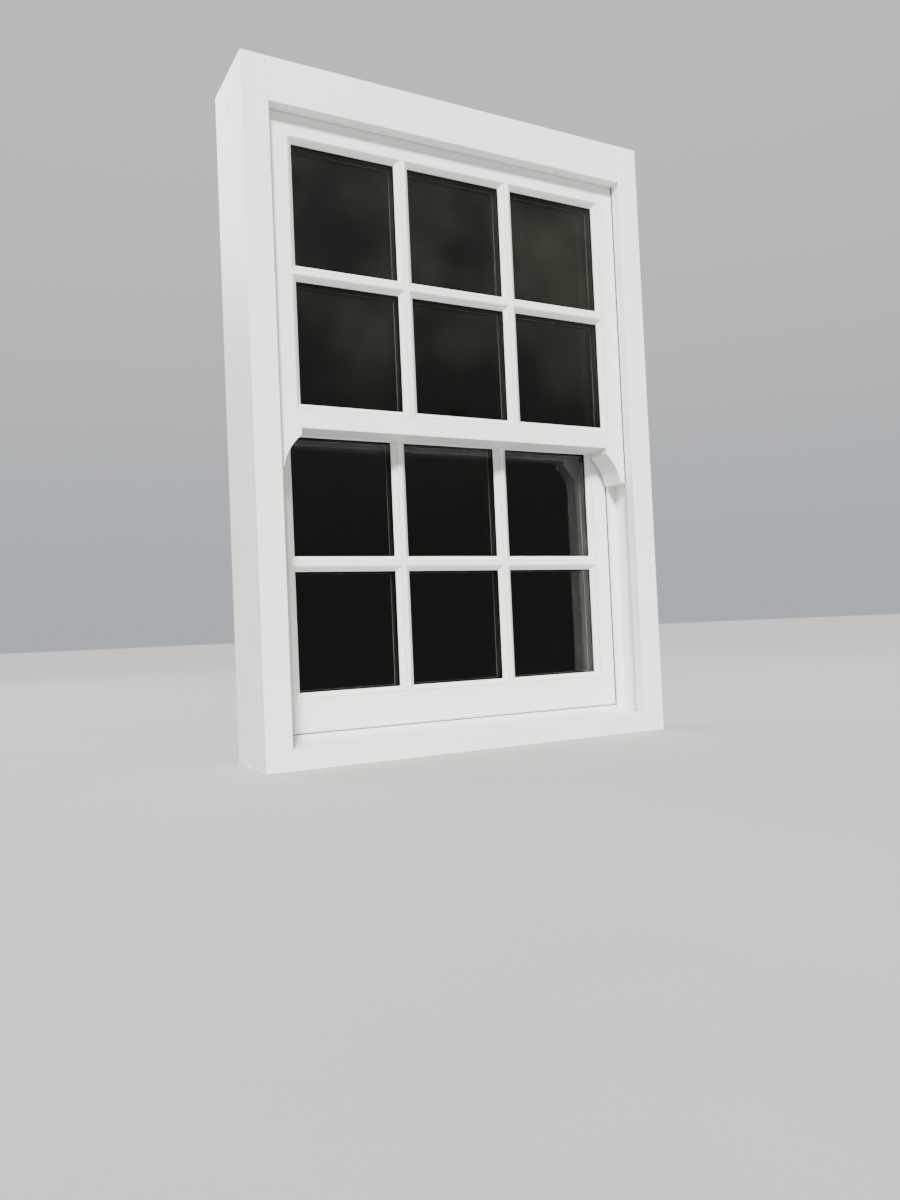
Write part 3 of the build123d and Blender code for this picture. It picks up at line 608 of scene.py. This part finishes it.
# near-black pile: the seals' own dark colour, made this dark so that it also paints the shade in
# the gaps beside the sashes
pileAndGapShade = newMaterial("brushPileGapShade", handlingMarks, {
    "Tint": (0.014, 0.014, 0.015, 1), "Dull": (0.032, 0.032, 0.034, 1), "Stretch": (1, 1, 1),
    "Size": 300.0, "Roughness": 0.85, "Spread": 0.1, "Height": 0.6,
})


def sealTree():
    tree, inside, outside = newTree("tuftRows", [
        ("Length", "Float"), ("Pitch", "Float"), ("Tuft", "Vector"), ("Tip", "Float"),
        ("Run", "Rotation"), ("Finish", "Material"),
    ])
    cone = addNode(tree, "GeometryNodeMeshCone", {
        "Vertices": 4, "Side Segments": 1, "Radius Top": inside.outputs["Tip"],
        "Radius Bottom": 1.0, "Depth": 1.0,
    })
    square = addNode(tree, "GeometryNodeTransform", {  # two units wide, so that "Tuft" is its half
        "Geometry": cone.outputs["Mesh"], "Rotation": (0, 0, math.radians(45)),
        "Scale": (math.sqrt(2), math.sqrt(2), 1.0),
    })
    laid = addNode(tree, "GeometryNodeTransform", {
        "Geometry": square.outputs[0], "Rotation": (math.radians(-90), 0, 0),
    })
    tuft = addNode(tree, "GeometryNodeTransform", {
        "Geometry": laid.outputs[0], "Scale": inside.outputs["Tuft"],
    })
    steps = combine(tree, "DIVIDE", inside.outputs["Length"], inside.outputs["Pitch"])
    rise = addNode(tree, "ShaderNodeCombineXYZ", {"Z": inside.outputs["Pitch"]})
    row = addNode(tree, "GeometryNodeMeshLine", {
        "Count": steps, "Start Location": (0, 0, 0), "Offset": rise.outputs[0],
    }, mode="OFFSET")
    tufts = addNode(tree, "GeometryNodeInstanceOnPoints", {
        "Points": row.outputs[0], "Instance": tuft.outputs[0],
    })
    strips = addNode(tree, "GeometryNodeInstanceOnPoints", {
        "Points": inside.outputs["Geometry"], "Instance": tufts.outputs[0],
        "Rotation": inside.outputs["Run"],
    })
    endTree(tree, strips.outputs[0], inside.outputs["Finish"], outside)
    return tree


def growSeals(settings):
    tree = sealTree()
    for name, strip in settings["strips"].items():
        grownPiece(name + "Seal", tree, strip["starts"], {
            "Length": strip["length"],
            "Pitch": settings["tuftPitch"],
            "Tuft": (strip["breadth"] / 2, strip["reach"], settings["tuftLength"] / 2),
            "Tip": settings["tip"],
            "Run": strip["run"],
            "Finish": pileAndGapShade,
        }, strip["body"], "spacer")


growSeals(sealSettings)
print("brush seals grown")


# Cross-head screws in the lifts, the fastener, the keep and the balance feet: the middle of each
# head's top, and the way it faces
screwSettings = {
    "headRadius": 0.0032,
    "rim": 0.0003,
    "shankRadius": 0.0016,
    "length": 0.012,
    "pointShare": 0.08,
    "threadDepth": 0.00035,
    "threadPitch": 0.0011,
    "rootShare": 0.6,
    "slotLength": 0.0019,
    "slotWidth": 0.00042,
    "slotDepth": 0.0013,
    "slotTaper": 0.45,
    "sides": 32,
    "seed": 7,
    "upper": [
        ((-0.022, -0.01425, 0.524), (0, 0, 1)),
        ((0.022, -0.01425, 0.524), (0, 0, 1)),
        ((-0.3065, -0.029, 0.528), (-1, 0, 0)),
        ((0.3065, -0.029, 0.528), (1, 0, 0)),
    ],
    "lower": [
        ((-0.022, 0.0235, 0.5245), (0, 0, 1)),
        ((0.022, 0.0235, 0.5245), (0, 0, 1)),
        ((-0.1805, 0.0475, 0.078), (0, 1, 0)),
        ((-0.1395, 0.0475, 0.078), (0, 1, 0)),
        ((0.1395, 0.0475, 0.078), (0, 1, 0)),
        ((0.1805, 0.0475, 0.078), (0, 1, 0)),
        ((-0.3065, 0.023, 0.0645), (-1, 0, 0)),
        ((0.3065, 0.023, 0.0645), (1, 0, 0)),
    ],
}


def screwMesh(settings):
    bm = bmesh.new()
    sides = settings["sides"]

    def ring(radius, z):
        turns = [2 * math.pi * index / sides for index in range(sides)]
        around = [(radius * math.cos(turn), radius * math.sin(turn), z) for turn in turns]
        return [bm.verts.new(place) for place in around]

    def bridge(upper, lower):
        count = len(upper)
        for index in range(count):
            after = (index + 1) % count
            bm.faces.new((upper[index], lower[index], lower[after], upper[after]))

    head, shank, rim = settings["headRadius"], settings["shankRadius"], settings["rim"]
    root, pitch = shank - settings["threadDepth"], settings["threadPitch"]
    depth = rim + head - shank
    rings = [ring(head, 0), ring(head, -rim), ring(shank, -depth)]
    while depth + pitch < settings["length"] - shank:
        rings.append(ring(root, -depth - pitch * settings["rootShare"]))
        depth += pitch
        rings.append(ring(shank, -depth))
    rings.append(ring(shank * settings["pointShare"], -settings["length"]))
    for upper, lower in zip(rings, rings[1:]):
        bridge(upper, lower)
    bm.faces.new(list(reversed(rings[-1])))
    arm, half, taper = settings["slotLength"], settings["slotWidth"], settings["slotTaper"]
    outline = [
        (arm, -half), (arm, half), (half, half), (half, arm), (-half, arm), (-half, half),
        (-arm, half), (-arm, -half), (-half, -half), (-half, -arm), (half, -arm), (half, -half),
    ]
    top = [bm.verts.new((x, y, 0)) for x, y in outline]
    foot = [bm.verts.new((x * taper, y * taper, -settings["slotDepth"])) for x, y in outline]
    topEdges = [bm.edges.new((top[index], top[index - 1])) for index in range(len(outline))]
    rimEdges = [edge for edge in bm.edges if all(vert in rings[0] for vert in edge.verts)]
    bmesh.ops.triangle_fill(bm, edges=topEdges + rimEdges, use_beauty=True)
    bridge(foot, top)
    bm.faces.new(foot)
    bmesh.ops.recalc_face_normals(bm, faces=bm.faces)
    mesh = bpy.data.meshes.new("crossHeadScrew")
    bm.to_mesh(mesh)
    bm.free()
    return mesh


def screwTree():
    tree, inside, outside = newTree("placedScrews", [
        ("Screw", "Object"), ("Seed", "Int"), ("Finish", "Material"),
    ])
    screw = addNode(tree, "GeometryNodeObjectInfo", {"Object": inside.outputs["Screw"]})
    facing = addNode(tree, "GeometryNodeInputNamedAttribute", {
        "Name": "facing",
    }, data_type="FLOAT_VECTOR")
    spin = addNode(tree, "FunctionNodeRandomValue", {  # 2 and 3 are the float's least and most
        2: 0.0, 3: math.pi, "Seed": inside.outputs["Seed"],
    }, data_type="FLOAT")
    turn = addNode(tree, "FunctionNodeAxisAngleToRotation", {
        "Axis": (0, 0, 1), "Angle": spin.outputs[1],
    })
    aimed = addNode(tree, "FunctionNodeAlignRotationToVector", {
        "Vector": facing.outputs["Attribute"],
    }, axis="Z")
    both = addNode(tree, "FunctionNodeRotateRotation", {
        "Rotation": aimed.outputs[0], "Rotate By": turn.outputs[0],
    }, rotation_space="LOCAL")
    placed = addNode(tree, "GeometryNodeInstanceOnPoints", {
        "Points": inside.outputs["Geometry"], "Instance": screw.outputs["Geometry"],
        "Rotation": both.outputs[0],
    })
    endTree(tree, placed.outputs[0], inside.outputs["Finish"], outside)
    return tree


oneScrew = bpy.data.objects.new("crossHeadScrew", screwMesh(screwSettings))
placedScrews = screwTree()
for sash in ("upper", "lower"):
    heads = screwSettings[sash]
    places, facings = [head[0] for head in heads], [head[1] for head in heads]
    piece = grownPiece(sash + "_crossHeadScrews", placedScrews, places, {
        "Screw": oneScrew, "Seed": screwSettings["seed"], "Finish": zinc,
    }, sash + "_sash", "screw_steel", facings)
    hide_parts(sash + "_sash_screws")
bpy.data.objects.remove(oneScrew)
print("screws grown")


# A plain pale floor, and a soft studio that is dark where the panes would mirror it. Above its
# dark side a mottled haze rises, and the camera sees a plain pale backdrop instead.
stageSettings = {
    "floor": (0.43, 0.427, 0.42, 1),
    "scuffed": (0.41, 0.407, 0.40, 1),
    "scuffSize": 3.0,
    "roughness": 0.8,
    "spread": 0.02,
    "reach": 60.0,
    "horizon": (0.50, 0.53, 0.57, 1),
    "above": (0.70, 0.72, 0.74, 1),
    "fadeTo": 0.5,
    "light": (0.62, 0.68, 0.78, 1),
    "dark": (0.112, 0.112, 0.074, 1),
    "darkTowards": (0.50, -0.84, -0.10),
    "darkWithin": 14.0,
    "lightBeyond": 75.0,
    "haze": (1.0, 0.99, 0.68, 1),
    "hazeFrom": 0.10,
    "hazeTo": 0.46,
    "mottle": (7.0, 3.0, 0.55),
    "mottleRange": (0.38, 0.66, 0.12, 1.0),
    "strength": 0.60,
}


def makeFloor(settings):
    reach = settings["reach"]
    corners = [(-reach, -reach, 0), (reach, -reach, 0), (reach, reach, 0), (-reach, reach, 0)]
    mesh = bpy.data.meshes.new("studioFloor")
    mesh.from_pydata(corners, [], [(0, 1, 2, 3)])
    floor = bpy.data.objects.new("studioFloor", mesh)
    scene.collection.objects.link(floor)
    mesh.materials.append(newMaterial("studioFloorFinish", handlingMarks, {
        "Tint": settings["floor"], "Dull": settings["scuffed"], "Size": settings["scuffSize"],
        "Roughness": settings["roughness"], "Spread": settings["spread"], "Height": 0.0,
    }))
    floor.visible_glossy = False  # so that the panes mirror the dark side of the studio
    floor.visible_transmission = False


def makeWorld(settings):
    world = bpy.data.worlds.new("softStudio")
    world.use_nodes = True
    scene.world = world
    tree = world.node_tree
    tree.nodes.clear()
    way = addNode(tree, "ShaderNodeTexCoord").outputs["Generated"]
    towards = Vector(settings["darkTowards"]).normalized()
    facing = addNode(tree, "ShaderNodeVectorMath", {0: way, 1: towards}, operation="DOT_PRODUCT")
    within = math.cos(math.radians(settings["darkWithin"]))
    beyond = math.cos(math.radians(settings["lightBeyond"]))
    bright = remap(tree, facing.outputs["Value"], within, beyond, 0.0, 1.0)
    height = addNode(tree, "ShaderNodeSeparateXYZ", {0: way}).outputs["Z"]
    rise = remap(tree, height, settings["hazeFrom"], settings["hazeTo"], 0.0, 1.0, smooth=True)
    mottle = noise(tree, way, *settings["mottle"])
    cloud = remap(tree, mottle, *settings["mottleRange"], smooth=True)
    hazy = combine(tree, "MULTIPLY", rise, cloud)
    shaded = mixColour(tree, hazy, settings["dark"], settings["haze"])
    lit = mixColour(tree, bright, shaded, settings["light"])
    seen = addNode(tree, "ShaderNodeLightPath").outputs["Is Camera Ray"]
    lighting = addNode(tree, "ShaderNodeBackground", {
        "Color": lit, "Strength": settings["strength"],
    })
    fade = remap(tree, height, 0.0, settings["fadeTo"], 0.0, 1.0, smooth=True)
    pale = mixColour(tree, fade, settings["horizon"], settings["above"])
    backdrop = addNode(tree, "ShaderNodeBackground", {"Color": pale, "Strength": 1.0})
    both = addNode(tree, "ShaderNodeMixShader", {
        0: seen, 1: lighting.outputs[0], 2: backdrop.outputs[0],
    })
    out = addNode(tree, "ShaderNodeOutputWorld")
    connect(tree, both.outputs[0], out.inputs["Surface"])


# The sun lamp's size is an angle in degrees, the others' is a width in metres
lampSettings = {
    "aim": (0, 0, 0.5),
    "key": {"kind": "SUN", "place": (-1.5, -3.0, 2.9), "size": 11.0, "power": 10.5,
            "colour": (1.0, 0.95, 0.88)},
    "fill": {"kind": "AREA", "place": (3.2, -0.4, 1.6), "size": 2.4, "power": 28.0,
             "colour": (0.90, 0.95, 1.0)},
    "room": {"kind": "AREA", "place": (-2.0, 3.2, 2.8), "size": 2.0, "power": 110.0,
             "colour": (1.0, 0.97, 0.93)},
}


def makeLamp(name, settings, aim):
    data = bpy.data.lights.new(name, settings["kind"])
    if settings["kind"] == "SUN":
        data.angle = math.radians(settings["size"])
    else:
        data.shape = "DISK"
        data.size = settings["size"]
    data.energy = settings["power"]
    data.color = settings["colour"]
    lamp = bpy.data.objects.new(name, data)
    scene.collection.objects.link(lamp)
    lamp.visible_camera = False
    lamp.location = settings["place"]
    way = Vector(aim) - Vector(settings["place"])
    lamp.rotation_euler = way.to_track_quat("-Z", "Y").to_euler()


makeFloor(stageSettings)
makeWorld(stageSettings)
for name in ("key", "fill", "room"):
    makeLamp(name + "Lamp", lampSettings[name], lampSettings["aim"])
print("floor, studio and lamps set")
